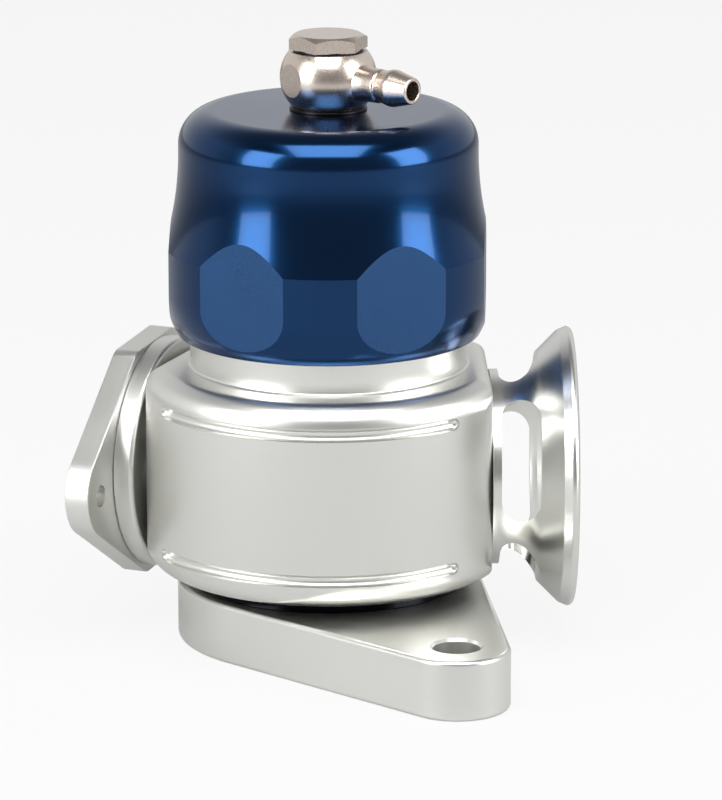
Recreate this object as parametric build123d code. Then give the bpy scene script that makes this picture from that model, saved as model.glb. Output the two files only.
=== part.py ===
from build123d import *
from math import atan2, cos, degrees, radians, sin, sqrt
import os

# Blow-off valve with a twin-eared base flange, a vent trumpet and a recirculation flange.
# Millimetres. The inlet axis is Z, the base flange's underside is z = 0, and the trumpet points
# along +X. Angles are in degrees about Z from +X, seen from above.

# Base flange
flange_thickness = 11.5
flange_body_radius = 29.0
ear_radius = 10.0
front_ear_angle = -64.8
front_ear_distance = 52.8
rear_ear_angle = 100.0
rear_ear_distance = 43.0
ear_hole_radius = 4.4
ear_hole_chamfer = 0.5
flange_edge_round = 0.9
inlet_radius = 15.5
spigot_radius = 20.5
spigot_height = 5.8

# Collar that the base flange turns in
collar_width = 6.4
collar_lip_height = 3.6
collar_wall_height = 4.6
collar_relief_width = 2.3

# Valve body
shoulder_width = 9.0
body_foot_rise = 2.5
body_foot_step = 5.5
body_bottom_roll = 6.0
web_gap = 0.2
seat_rise = 2.9
shoulder_rise = 20.8
shoulder_roll = 4.6
neck_wall = 6.8
neck_length = 20.1
neck_fillet = 0.5
chamber_radius = 19.5
port_height = 32.6
port_flat_depth = 4.8
port_face_round = 3.2
port_corner_round = 9.5
port_socket_radius = 14.3
port_socket_depth = 7.5
panel_angle = -101.0
groove_half_angle = 51.3
groove_radius = 1.15
groove_heights = (20.1, 47.9)

# Ports
trumpet_angle = 0.0
recirc_angle = 157.0
port_bore_radius = 12.0
port_bore_room = 0.6
port_fit = 0.1
snap_wire_radius = 0.6
snap_inset = 2.6

# Vent trumpet
trumpet_tube_radius = 18.6
trumpet_wall = 2.3
trumpet_step_length = 1.1
trumpet_flare_radius = 11.0
trumpet_reach = 15.9
trumpet_rim_radius = 26.7
trumpet_mouth_radius = 24.4
trumpet_lip_round = 1.2
trumpet_throat_setback = 0.5
trumpet_throat_angle = 8.0
window_width = 7.4
window_length = 23.0
window_reach = 5.35
window_clock = -18.5

# Recirculation flange
recirc_disc_radius = 22.3
recirc_face_gap = 0.7
recirc_disc_thickness = 4.0
recirc_plate_thickness = 4.8
recirc_tip_radius = 8.7
recirc_tip_distance = 25.0
recirc_side_distance = 23.2
recirc_flat_distance = 22.4
recirc_corner_round = 4.0
recirc_clock = 4.5
recirc_hole_distance = 27.9
recirc_hole_radius = 2.1
recirc_outlet_radius = 15.0
recirc_outlet_depth = 3.0

# Cap
cap_lip_room = 1.6
cap_wall = 4.7
cap_lip_step = 2.4
cap_lip_length = 9.1
cap_band_width = 7.8
cap_waist_step = 2.75
cap_waist_rise = 18.1
cap_crown_height = 7.8
cap_top_round = 6.5
cap_flat_count = 6
cap_flat_depth = 1.4
cap_flat_angle = -4.0
cap_cavity_inset = 2.7
cap_roof = 6.9
cap_cavity_step = 2.6
cap_bore_room = 1.0
thread_fit = 0.06
thread_pitch = 1.5
cap_turns = 3

# Piston, spring and seat
piston_wall = 2.8
piston_floor = 4.0
piston_fit = 0.08
piston_stroke = 14.0
piston_head_room = 8.3
piston_rim_chamfer = 0.6
guide_ring_drop = 12.0
guide_ring_width = 3.2
guide_ring_depth = 1.6
guide_ring_play = 0.05
piston_seal_drop = 5.0
spring_coil_radius = 12.5
spring_wire_radius = 1.5
spring_turns = 9
spring_boss_radius = 10.4
spring_boss_height = 2.5
spring_seat_thickness = 4.0
spring_seat_hole_radius = 3.0
spring_seat_play = 0.4
thrust_washer_thickness = 1.0
thrust_washer_hole_radius = 6.0
thrust_washer_inset = 2.0

# Seals and snap rings
seal_fit = 0.05
seal_side_play = 0.3
base_seal_section = 0.8
port_seal_section = 0.62
port_seal_offset = 2.4
cap_seal_section = 0.6
cap_seal_drop = 3.5
piston_seal_section = 0.8
nose_seal_section = 0.7
nose_seal_play = 0.15
ring_section = 1.0
ring_depth = 1.2
ring_play = 0.6
ring_gap_angle = 40.0

# Hose fitting
banjo_radius = 9.1
banjo_foot_radius = 6.7
banjo_top_radius = 7.3
banjo_height = 12.0
banjo_flat_distance = 8.45
banjo_flat_angle = 33.0
banjo_bore_radius = 4.6
banjo_washer_radius = 7.6
banjo_washer_thickness = 0.5
banjo_washer_play = 0.3
bolt_head_across_flats = 13.0
bolt_head_height = 2.7
bolt_head_chamfer = 0.9
bolt_face_radius = 6.1
bolt_shank_radius = 4.0
bolt_end_setback = 0.6
bolt_passage_radius = 1.5
barb_angle = -41.0
barb_reach = 20.2
barb_tube_radius = 2.75
barb_bulge_radius = 3.5
barb_end_radius = 2.45
barb_bore_radius = 1.8
barb_bulge_length = 7.2
barb_bulge_rise = 2.6
barb_bulge_land = 0.6
barb_root_radius = 5.6
barb_collar_step = 0.9
barb_collar_end = 10.4
touch = 0.02

# Values that follow from the sizes above
neck_radius = chamber_radius + neck_wall
body_radius = neck_radius + shoulder_width
body_foot_radius = body_radius - body_foot_step
body_foot_height = flange_thickness + body_foot_rise
cap_radius = neck_radius + cap_wall
cap_lip_radius = cap_radius - cap_lip_step
cap_waist_radius = cap_radius - cap_waist_step
cap_flat_distance = cap_radius - cap_flat_depth
cap_cavity_radius = neck_radius - cap_cavity_inset
port_face_distance = body_radius - port_flat_depth
port_socket_floor = port_face_distance - port_socket_depth
trumpet_flare_start = port_face_distance + trumpet_step_length
trumpet_bore_end = port_face_distance + trumpet_throat_setback
trumpet_mouth_plane = port_face_distance + trumpet_reach
window_plane = port_face_distance + window_reach
recirc_disc_inner = port_face_distance + recirc_face_gap
recirc_plate_inner = recirc_disc_inner + recirc_disc_thickness
shoulder_height = port_height + shoulder_rise
neck_top_height = shoulder_height + neck_length
cap_travel = thread_pitch * cap_turns
cap_lip_height = shoulder_height + cap_travel + cap_lip_room
cap_band_bottom = cap_lip_height + cap_lip_length
cap_band_top = cap_band_bottom + cap_band_width
cap_waist_height = cap_band_top + cap_waist_rise
cap_top_height = cap_waist_height + cap_crown_height
spigot_top = flange_thickness + spigot_height
web_bottom_height = spigot_top + web_gap
seat_height = spigot_top + seat_rise
collar_bottom = flange_thickness
collar_radius = spigot_radius + collar_width
collar_relief_radius = spigot_radius + collar_relief_width
collar_lip_top = collar_bottom + collar_lip_height
collar_top = collar_bottom + collar_wall_height
cap_roof_height = cap_top_height - cap_roof
thrust_washer_bottom = cap_roof_height - thrust_washer_thickness
spring_top = thrust_washer_bottom - spring_seat_thickness
base_seal_height = flange_thickness + collar_lip_height / 2
cap_seal_height = neck_top_height - cap_seal_drop
port_seal_distance = port_socket_floor + port_seal_offset
spigot_bore_radius = spigot_radius + port_fit
port_spigot_radius = port_socket_radius - port_fit
piston_length = neck_top_height - seat_height - piston_stroke - piston_head_room
piston_bottom = seat_height + touch
guide_ring_height = piston_bottom + piston_length - guide_ring_drop
piston_seal_height = piston_bottom + piston_length - piston_seal_drop
piston_radius = chamber_radius - piston_fit
nose_seal_radius = (inlet_radius + piston_radius) / 2
nose_seal_height = seat_height + seal_fit + nose_seal_section
spring_bottom = piston_bottom + piston_floor
cap_bore_radius = neck_radius + thread_fit
banjo_bottom = cap_top_height + banjo_washer_thickness
banjo_top = banjo_bottom + banjo_height
bolt_head_bottom = banjo_top + banjo_washer_thickness
barb_height = banjo_bottom + banjo_height / 2


def turned(points):
    """Solid of revolution about Z from (radius, height) corners."""
    outline = Polyline(*[(r, 0, z) for r, z in points], close=True)
    return revolve(make_face(outline), Axis.Z)


def ring(inner, outer, bottom, top):
    """Plain ring about Z."""
    return turned([(inner, bottom), (outer, bottom), (outer, top), (inner, top)])


def lying(height, angle):
    """Placement that turns +Z outward along a horizontal axis at a height."""
    return Pos(0, 0, height) * Rot(0, 0, angle) * Rot(0, 90, 0)


def along_port(shape, angle):
    """Moves a shape built along +Z from the origin onto a port axis at the port's height."""
    return lying(port_height, angle) * shape


def corner_mid(start, corner, end):
    """Middle point of the quarter arc that rounds a corner."""
    share = 2 - sqrt(2)
    return tuple(c + share * ((a + b) / 2 - c) for a, c, b in zip(start, corner, end))


def wire_ring(mean_radius, height, section):
    """Round-section ring about Z."""
    circle = Plane.XZ * Pos(mean_radius, height) * Circle(section)
    return revolve(circle, Axis.Z)


def bore_seal(bore, height, section):
    """Round seal just inside the bore it seals against."""
    return wire_ring(bore - seal_fit - section, height, section)


def seal_groove(bore, height, section):
    """Groove that holds such a seal, cut into the part inside the bore."""
    half_width = section + seal_side_play
    return ring(bore - seal_fit - 2 * section - touch, bore + section,
                height - half_width, height + half_width)


def snap_ring(inner, outer, bottom, thickness):
    """Flat retaining ring with its gap on the rear side."""
    mouth = extrude(Pos(0, 0, bottom) * Polygon(
        (0, 0),
        (outer * 2, outer * 2 * sin(radians(ring_gap_angle / 2))),
        (outer * 2, -outer * 2 * sin(radians(ring_gap_angle / 2))),
        align=None), thickness)
    return ring(inner, outer, bottom, bottom + thickness) - Rot(0, 0, 90) * mouth


def ear_centre(angle, distance):
    return (distance * cos(radians(angle)), distance * sin(radians(angle)))


def base_flange():
    ears = ((front_ear_angle, front_ear_distance), (rear_ear_angle, rear_ear_distance))
    edges = Circle(flange_body_radius).edges()
    for angle, distance in ears:
        edges += (Pos(*ear_centre(angle, distance)) * Circle(ear_radius)).edges()
    plate = extrude(make_hull(edges), flange_thickness)
    plate = fillet(plate.edges().group_by(Axis.Z)[-1] + plate.edges().group_by(Axis.Z)[0],
                   flange_edge_round)
    part = plate + ring(0, spigot_radius, flange_thickness / 2, spigot_top)
    part -= Cylinder(inlet_radius, 3 * spigot_top)
    groove_bottom = collar_lip_top + touch
    part -= ring(spigot_radius - ring_depth, spigot_bore_radius, groove_bottom,
                 groove_bottom + ring_section + 2 * touch)
    part -= seal_groove(spigot_bore_radius, base_seal_height, base_seal_section)
    for angle, distance in ears:
        hole = Cylinder(ear_hole_radius, 3 * flange_thickness)
        hole += Pos(0, 0, flange_thickness - ear_hole_chamfer / 2) * Cone(
            ear_hole_radius, ear_hole_radius + ear_hole_chamfer, ear_hole_chamfer)
        part -= Pos(*ear_centre(angle, distance)) * hole
    return part


def base_seal():
    return bore_seal(spigot_bore_radius, base_seal_height, base_seal_section)


def base_retaining_ring():
    return snap_ring(spigot_radius - ring_depth + touch, collar_relief_radius - ring_play,
                     collar_lip_top + 2 * touch, ring_section - touch)


def base_collar():
    return turned([(spigot_bore_radius, collar_bottom), (collar_radius, collar_bottom),
                   (collar_radius, collar_top), (collar_relief_radius, collar_top),
                   (collar_relief_radius, collar_lip_top), (spigot_bore_radius, collar_lip_top)])


def body_outline():
    """Turned outside of the body, from the foot up over the shoulder and along the neck."""
    foot = (body_foot_radius, body_foot_height)
    roll_end = (body_radius, body_foot_height + body_bottom_roll)
    side_top = (body_radius, shoulder_height - shoulder_roll)
    crown = (body_radius - shoulder_roll, shoulder_height)
    fillet_start = (neck_radius + neck_fillet, shoulder_height)
    neck_foot = (neck_radius, shoulder_height + neck_fillet)
    neck_top = (neck_radius, neck_top_height)
    with BuildLine(Plane.XZ) as outline:
        Line((0, body_foot_height), foot)
        ThreePointArc(foot, corner_mid(foot, (body_radius, body_foot_height), roll_end), roll_end)
        Line(roll_end, side_top)
        ThreePointArc(side_top, corner_mid(side_top, (body_radius, shoulder_height), crown), crown)
        Line(crown, fillet_start)
        ThreePointArc(fillet_start, corner_mid(fillet_start, (neck_radius, shoulder_height), neck_foot),
                      neck_foot)
        Line(neck_foot, neck_top)
        Line(neck_top, (0, neck_top_height))
        Line((0, neck_top_height), (0, body_foot_height))
    return revolve(make_face(outline.line), Axis.Z)


def port_flats():
    """Upright prism over the body: round, with a flat across each port and eased corners."""
    outline = Circle(body_radius + touch)
    for angle in (trumpet_angle, recirc_angle):
        beyond = Pos(port_face_distance + body_radius, 0) * Rectangle(2 * body_radius, 4 * body_radius)
        outline -= Rot(0, 0, angle) * beyond
    outline = fillet(outline.vertices(), port_corner_round)
    return extrude(outline, neck_top_height)


def edge_round_cutter(height, upward, angle):
    """Rounds the top or bottom edge of a port flat."""
    size = port_face_round
    block = Box(2 * size, 3 * body_radius, size,
                align=(Align.MIN, Align.CENTER, Align.MIN if upward else Align.MAX))
    round_bar = Rot(90, 0, 0) * Cylinder(size, 4 * body_radius)
    cutter = block - round_bar
    level = height - size if upward else height + size
    return Rot(0, 0, angle) * Pos(port_face_distance - size, 0, level) * cutter


def panel_groove(height):
    """Cutters of a ball-ended groove along an arc of the front panel."""
    section = Plane.XZ * Pos(body_radius, height) * Circle(groove_radius)
    arc = revolve(section, Axis.Z, revolution_arc=2 * groove_half_angle)
    start = Rot(0, 0, panel_angle - groove_half_angle)
    end = Rot(0, 0, panel_angle + groove_half_angle)
    ball = Pos(body_radius, 0, height) * Sphere(groove_radius)
    return start * arc, start * ball, end * ball


def valve_body():
    body = body_outline() & port_flats()
    for angle in (trumpet_angle, recirc_angle):
        body -= edge_round_cutter(shoulder_height, True, angle)
        body -= edge_round_cutter(body_foot_height, False, angle)
    body -= ring(0, collar_radius + touch, 0, collar_top)
    body -= ring(0, collar_relief_radius, 0, web_bottom_height)
    body -= Cylinder(inlet_radius, 3 * seat_height)
    body -= ring(0, chamber_radius, seat_height, neck_top_height + 1)
    for angle in (trumpet_angle, recirc_angle):
        socket = Pos(0, 0, port_socket_floor) * Cylinder(
            port_socket_radius, body_radius, align=(Align.CENTER, Align.CENTER, Align.MIN))
        bore = Cylinder(port_bore_radius + port_bore_room, body_radius,
                        align=(Align.CENTER, Align.CENTER, Align.MIN))
        body -= along_port(socket + bore, angle)
        body -= along_port(snap_wire(snap_wire_radius + touch), angle)
    for height in groove_heights:
        for cutter in panel_groove(height):
            body -= cutter
    body -= seal_groove(cap_bore_radius, cap_seal_height, cap_seal_section)
    return body


def snap_wire(section):
    """Round-wire ring shared by both port sockets, built along +Z."""
    return Pos(0, 0, port_face_distance - snap_inset) * wire_ring(port_socket_radius, 0, section)


def spigot_grooves():
    """Seal and snap-ring grooves of a port spigot, along +Z."""
    groove = seal_groove(port_socket_radius, port_seal_distance, port_seal_section)
    return groove + snap_wire(snap_wire_radius + port_fit)


def port_seal():
    return bore_seal(port_socket_radius, port_seal_distance, port_seal_section)


def flare_point(radius, angle):
    """Point (radius, distance) on a flare arc that starts parallel to the port axis."""
    base = trumpet_tube_radius + trumpet_flare_radius - radius
    return (base + radius * (1 - cos(radians(angle))),
            trumpet_flare_start + radius * sin(radians(angle)))


def trumpet():
    inner_arc = trumpet_flare_radius + trumpet_wall
    flare_end = flare_point(trumpet_flare_radius, 45)
    lip_back = trumpet_mouth_plane - 2.4 * trumpet_lip_round
    lip_start = (flare_end[0] + lip_back - flare_end[1], lip_back)
    lip_top = (trumpet_rim_radius, trumpet_mouth_plane - trumpet_lip_round)
    lip_front = (trumpet_rim_radius - trumpet_lip_round, trumpet_mouth_plane)
    lip_mid = corner_mid(lip_top, (trumpet_rim_radius, trumpet_mouth_plane), lip_front)
    throat = flare_point(inner_arc, trumpet_throat_angle)
    with BuildLine(Plane.XZ) as outline:
        Polyline((port_bore_radius, port_socket_floor + touch),
                 (port_spigot_radius, port_socket_floor + touch),
                 (port_spigot_radius, port_face_distance),
                 (trumpet_tube_radius, port_face_distance),
                 (trumpet_tube_radius, trumpet_flare_start))
        ThreePointArc((trumpet_tube_radius, trumpet_flare_start),
                      flare_point(trumpet_flare_radius, 22.5), flare_end)
        Polyline(flare_end, lip_start, lip_top)
        ThreePointArc(lip_top, lip_mid, lip_front)
        Polyline(lip_front, (trumpet_mouth_radius, trumpet_mouth_plane), flare_point(inner_arc, 45))
        ThreePointArc(flare_point(inner_arc, 45),
                      flare_point(inner_arc, (45 + trumpet_throat_angle) / 2), throat)
        Polyline(throat, (port_bore_radius, trumpet_bore_end),
                 (port_bore_radius, port_socket_floor + touch))
    horn = revolve(make_face(outline.line), Axis.Z) - spigot_grooves()
    for quarter in (0, 90):
        slot = extrude(SlotOverall(window_length, window_width), 2 * trumpet_rim_radius, both=True)
        turn = Rot(0, 0, quarter + window_clock) * Pos(0, 0, window_plane)
        horn -= turn * Rot(90, 0, 0) * slot
    return along_port(horn, trumpet_angle)


def recirc_plate_outline():
    """Two-hole flange: straight sides down to rounded tips, flats across the narrow way."""
    flat = recirc_flat_distance
    reach = recirc_tip_distance
    lean = degrees(atan2(recirc_side_distance - recirc_tip_radius, sqrt(
        reach ** 2 - (recirc_side_distance - recirc_tip_radius) ** 2)))
    corner_x = (recirc_side_distance - flat * cos(radians(lean))) / sin(radians(lean))
    tips = Pos(reach, 0) * Circle(recirc_tip_radius) + Pos(-reach, 0) * Circle(recirc_tip_radius)
    diamond = Polygon((corner_x, flat), (-corner_x, flat), (-corner_x, -flat), (corner_x, -flat),
                      align=None)
    hull = make_hull(tips.edges() + diamond.edges())
    sharp = [v for v in hull.vertices() if abs(abs(v.Y) - flat) < 0.01]
    return fillet(sharp, recirc_corner_round)


def recirc_flange():
    plate_outer = recirc_plate_inner + recirc_plate_thickness
    plate = Pos(0, 0, recirc_plate_inner) * extrude(recirc_plate_outline(), recirc_plate_thickness)
    for side in (-1, 1):
        plate -= Pos(side * recirc_hole_distance, 0, recirc_plate_inner) * Cylinder(
            recirc_hole_radius, 4 * recirc_plate_thickness)
    spigot = ring(port_bore_radius, port_spigot_radius, port_socket_floor + touch,
                  recirc_disc_inner) - spigot_grooves()
    disc = ring(port_bore_radius, recirc_disc_radius, recirc_disc_inner, recirc_plate_inner)
    part = plate + disc + spigot
    part -= Pos(0, 0, port_face_distance) * Cylinder(
        port_bore_radius, body_radius, align=(Align.CENTER, Align.CENTER, Align.MIN))
    part -= Pos(0, 0, plate_outer - recirc_outlet_depth) * Cone(
        port_bore_radius, recirc_outlet_radius, recirc_outlet_depth,
        align=(Align.CENTER, Align.CENTER, Align.MIN))
    return along_port(Rot(0, 0, 90 - recirc_clock) * part, recirc_angle)


def cap_outline():
    lip = (cap_lip_radius, cap_lip_height)
    band_bottom = (cap_radius, cap_band_bottom)
    rise = cap_band_bottom - cap_lip_height
    spread = cap_radius - cap_lip_radius
    lower_arc = (rise ** 2 + spread ** 2) / (2 * spread)
    lower_mid = (cap_radius - lower_arc + sqrt(lower_arc ** 2 - (rise / 2) ** 2),
                 cap_band_bottom - rise / 2)
    band_top = (cap_radius, cap_band_top)
    drop = cap_waist_height - cap_band_top
    waist_in = cap_radius - cap_waist_radius
    waist_arc = (drop ** 2 + waist_in ** 2) / (2 * waist_in)
    waist_mid = (cap_waist_radius + waist_arc - sqrt(waist_arc ** 2 - (drop / 2) ** 2),
                 cap_waist_height - drop / 2)
    waist = (cap_waist_radius, cap_waist_height)
    fillet_start = (cap_waist_radius, cap_top_height - cap_top_round)
    fillet_end = (cap_waist_radius - cap_top_round, cap_top_height)
    fillet_mid = corner_mid(fillet_start, (cap_waist_radius, cap_top_height), fillet_end)
    bore_top = neck_top_height + cap_travel + cap_bore_room
    with BuildLine(Plane.XZ) as outline:
        Line((cap_bore_radius, cap_lip_height), lip)
        ThreePointArc(lip, lower_mid, band_bottom)
        Line(band_bottom, band_top)
        ThreePointArc(band_top, waist_mid, waist)
        Line(waist, fillet_start)
        ThreePointArc(fillet_start, fillet_mid, fillet_end)
        Line(fillet_end, (0, cap_top_height))
        Line((0, cap_top_height), (0, cap_roof_height))
        Line((0, cap_roof_height), (cap_cavity_radius, cap_roof_height))
        Line((cap_cavity_radius, cap_roof_height), (cap_cavity_radius, bore_top + cap_cavity_step))
        Line((cap_cavity_radius, bore_top + cap_cavity_step), (cap_bore_radius, bore_top))
        Line((cap_bore_radius, bore_top), (cap_bore_radius, cap_lip_height))
    return revolve(make_face(outline.line), Axis.Z)


def cap():
    shell = cap_outline()
    for index in range(cap_flat_count):
        block = Box(body_radius, 2 * cap_radius, 2 * cap_top_height,
                    align=(Align.MIN, Align.CENTER, Align.CENTER))
        turn = cap_flat_angle + index * 360 / cap_flat_count
        shell -= Rot(0, 0, turn) * Pos(cap_flat_distance, 0, 0) * block
    shell -= Pos(0, 0, cap_top_height) * Cylinder(bolt_shank_radius, 4 * cap_roof)
    return shell


def piston():
    top = piston_bottom + piston_length
    inner = piston_radius - piston_wall
    cup = ring(0, piston_radius, piston_bottom, top) - ring(0, inner, spring_bottom, top + 1)
    cup += ring(0, spring_boss_radius, spring_bottom, spring_bottom + spring_boss_height)
    cup = chamfer(cup.edges().filter_by(GeomType.CIRCLE).group_by(Axis.Z)[-1], piston_rim_chamfer)
    cup -= guide_band(piston_radius - guide_ring_depth, chamber_radius, guide_ring_width)
    cup -= seal_groove(chamber_radius, piston_seal_height, piston_seal_section)
    half_width = nose_seal_section + nose_seal_play
    cup -= ring(nose_seal_radius - half_width, nose_seal_radius + half_width, 0,
                nose_seal_height + nose_seal_section + touch)
    return cup


def guide_band(inner, outer, width):
    """Band round the piston at the guide ring's height."""
    return ring(inner, outer, guide_ring_height - width / 2, guide_ring_height + width / 2)


def piston_guide_ring():
    return guide_band(piston_radius - guide_ring_depth + guide_ring_play,
                      chamber_radius - seal_fit / 2, guide_ring_width - 2 * guide_ring_play)


def piston_seal():
    return bore_seal(chamber_radius, piston_seal_height, piston_seal_section)


def nose_seal():
    return wire_ring(nose_seal_radius, nose_seal_height, nose_seal_section)


def main_spring():
    height = spring_top - spring_bottom
    pitch = (height - 2 * touch) / spring_turns
    path = Helix(pitch=pitch, height=height + 2 * spring_wire_radius, radius=spring_coil_radius)
    start = Plane(origin=path @ 0, z_dir=path % 0)
    coil = sweep(start * Circle(spring_wire_radius), path=path, is_frenet=True)
    coil = Pos(0, 0, spring_bottom - spring_wire_radius) * coil
    slab = ring(0, 2 * spring_coil_radius, spring_bottom + touch, spring_top - touch)
    return coil & slab


def spring_seat():
    disc = ring(0, cap_cavity_radius - spring_seat_play, spring_top, thrust_washer_bottom)
    boss = ring(0, spring_boss_radius, spring_top - spring_boss_height, spring_top)
    return disc + boss - Cylinder(spring_seat_hole_radius, 4 * cap_top_height)


def thrust_washer():
    return ring(thrust_washer_hole_radius, cap_cavity_radius - thrust_washer_inset,
                thrust_washer_bottom, cap_roof_height)


def cap_seal():
    return bore_seal(cap_bore_radius, cap_seal_height, cap_seal_section)


def banjo_ring():
    """Ball-sided ring with two milled round flats, bored for the hollow bolt."""
    foot = (banjo_foot_radius, banjo_bottom)
    brow = (banjo_top_radius, banjo_top)
    with BuildLine(Plane.XZ) as outline:
        Line((0, banjo_bottom), foot)
        ThreePointArc(foot, (banjo_radius, barb_height), brow)
        Line(brow, (0, banjo_top))
        Line((0, banjo_top), (0, banjo_bottom))
    ball = revolve(make_face(outline.line), Axis.Z)
    block = Box(banjo_radius, 2 * banjo_radius, 2 * banjo_height,
                align=(Align.MIN, Align.CENTER, Align.CENTER))
    for turn in (banjo_flat_angle, banjo_flat_angle + 180):
        ball -= Rot(0, 0, turn) * Pos(banjo_flat_distance, 0, barb_height) * block
    ball -= Pos(0, 0, barb_height) * Cylinder(banjo_bore_radius, 3 * banjo_height)
    passage = Cylinder(barb_bore_radius, 2 * banjo_radius, align=(Align.CENTER, Align.CENTER, Align.MIN))
    socket = Pos(0, 0, barb_root_radius) * Cylinder(
        barb_tube_radius + barb_collar_step, banjo_radius,
        align=(Align.CENTER, Align.CENTER, Align.MIN))
    ball -= lying(barb_height, barb_angle) * (passage + socket)
    return ball


def hose_barb():
    """Barbed tube, brazed into the side of the banjo ring."""
    root = barb_root_radius
    step = barb_collar_step
    bulge = barb_reach - barb_bulge_length
    peak = bulge + barb_bulge_rise
    tube = turned([(barb_bore_radius, root), (barb_tube_radius, root), (barb_tube_radius, bulge),
                   (barb_bulge_radius, peak), (barb_bulge_radius, peak + barb_bulge_land),
                   (barb_end_radius, barb_reach), (barb_bore_radius, barb_reach)])
    collar = turned([(barb_bore_radius, root), (barb_tube_radius + step, root),
                     (barb_tube_radius + step, barb_collar_end - step),
                     (barb_tube_radius, barb_collar_end), (barb_bore_radius, barb_collar_end)])
    return lying(barb_height, barb_angle) * (tube + collar)


def banjo_bolt():
    head = extrude(Pos(0, 0, bolt_head_bottom) * RegularPolygon(
        bolt_head_across_flats / 2, 6, major_radius=False), bolt_head_height)
    corner = bolt_head_across_flats / sqrt(3)
    top = bolt_head_bottom + bolt_head_height
    dome = turned([(0, bolt_head_bottom), (corner, bolt_head_bottom), (corner, top - bolt_head_chamfer),
                   (bolt_face_radius, top), (0, top)])
    shank = ring(0, bolt_shank_radius, cap_roof_height + bolt_end_setback, bolt_head_bottom)
    bolt = (head & dome) + shank
    bolt -= ring(0, bolt_passage_radius, cap_roof_height, barb_height + bolt_passage_radius)
    cross = lying(barb_height, barb_angle) * Cylinder(
        bolt_passage_radius, 3 * bolt_shank_radius)
    return bolt - cross


def banjo_washer(bottom):
    return ring(bolt_shank_radius + banjo_washer_play, banjo_washer_radius, bottom,
                bottom + banjo_washer_thickness)


makers = {
    "base_flange": base_flange,
    "base_o_ring": base_seal,
    "base_retaining_ring": base_retaining_ring,
    "base_collar": base_collar,
    "valve_body": valve_body,
    "trumpet": trumpet,
    "trumpet_o_ring": lambda: along_port(port_seal(), trumpet_angle),
    "trumpet_snap_ring": lambda: along_port(snap_wire(snap_wire_radius), trumpet_angle),
    "recirc_flange": recirc_flange,
    "recirc_o_ring": lambda: along_port(port_seal(), recirc_angle),
    "recirc_snap_ring": lambda: along_port(snap_wire(snap_wire_radius), recirc_angle),
    "piston": piston,
    "piston_guide_ring": piston_guide_ring,
    "piston_seal": piston_seal,
    "nose_seal": nose_seal,
    "main_spring": main_spring,
    "spring_seat": spring_seat,
    "thrust_washer": thrust_washer,
    "cap": cap,
    "cap_o_ring": cap_seal,
    "banjo_lower_washer": lambda: banjo_washer(cap_top_height),
    "banjo_ring": banjo_ring,
    "hose_barb": hose_barb,
    "banjo_upper_washer": lambda: banjo_washer(banjo_top),
    "banjo_bolt": banjo_bolt,
}

os.makedirs("parts", exist_ok=True)
for name, make in makers.items():
    shape = make()
    shape.label = name
    export_step(shape, f"parts/{name}.step")
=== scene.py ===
from math import atan, cos, pi, radians, sin, sqrt, tan

import bmesh
import bpy
from bpy.props import FloatProperty, IntProperty, PointerProperty, StringProperty
from mathutils import Matrix, Vector


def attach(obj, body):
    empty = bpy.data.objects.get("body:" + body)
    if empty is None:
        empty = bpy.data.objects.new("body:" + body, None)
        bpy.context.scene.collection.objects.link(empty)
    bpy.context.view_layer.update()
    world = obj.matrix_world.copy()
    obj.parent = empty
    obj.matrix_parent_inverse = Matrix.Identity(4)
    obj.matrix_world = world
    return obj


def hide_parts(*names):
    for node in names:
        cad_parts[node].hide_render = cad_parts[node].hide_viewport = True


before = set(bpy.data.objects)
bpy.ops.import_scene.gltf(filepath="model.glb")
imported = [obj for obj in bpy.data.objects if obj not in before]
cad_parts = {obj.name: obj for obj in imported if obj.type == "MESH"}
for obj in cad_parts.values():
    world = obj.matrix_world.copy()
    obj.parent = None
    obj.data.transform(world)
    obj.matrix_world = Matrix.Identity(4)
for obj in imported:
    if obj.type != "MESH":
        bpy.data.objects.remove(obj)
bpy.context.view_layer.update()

bl_info = {
    "name": "Blow-off Valve",
    "version": (1, 0, 0),
    "blender": (4, 5, 0),
    "location": "View3D > Sidebar > Valve",
    "description": "Builds the visible pieces, finishes and studio of a blow-off valve",
    "category": "Add Mesh",
}

MM = 0.001

# Measures that several pieces share, in millimetres, and angles about the upright axis, in degrees.
INLET_RADIUS = 15.5
COLLAR_LIP_RADIUS = 22.8
COLLAR_TOP = 16.1
BODY_BOTTOM = 14.0
SHOULDER_HEIGHT = 53.4
PORT_HEIGHT = 32.6
PORT_FACE = 30.5
PORT_BORE_RADIUS = 12.0
SPIGOT_RADIUS = 14.2
SPIGOT_END = 23.05
TRUMPET_ANGLE = 0.0
RECIRC_ANGLE = 157.0
CAP_TOP = 102.3
BOLT_HOLE_RADIUS = 4.0
WASHER_THICKNESS = 0.5
BANJO_BOTTOM = CAP_TOP + WASHER_THICKNESS
BANJO_HEIGHT = 10.6
BANJO_TOP = BANJO_BOTTOM + BANJO_HEIGHT
BARB_HEIGHT = BANJO_BOTTOM + BANJO_HEIGHT / 2
BARB_ANGLE = -41.0

# Camera, fitted to the photograph's viewing angle. Places are in metres, lens and sensor in mm.
CAMERA_PLACE = (-0.01637, -0.93803, 0.28860)
CAMERA_AIM = (0.00612, -0.00011, 0.04580)
CAMERA_LENS = 229.1
CAMERA_SENSOR = 36.0

# Lamps: name, azimuth and elevation in degrees, distance, width and height in metres, watts.
LAMPS = (("left softbox", -146, 22, 0.75, 0.34, 0.58, 4.1),
         ("right softbox", -24, 22, 0.75, 0.34, 0.58, 4.3),
         ("front overhead softbox", -92, 62, 0.9, 0.7, 0.64, 8.2))
LAMP_AIM_HEIGHT = 0.055

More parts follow.
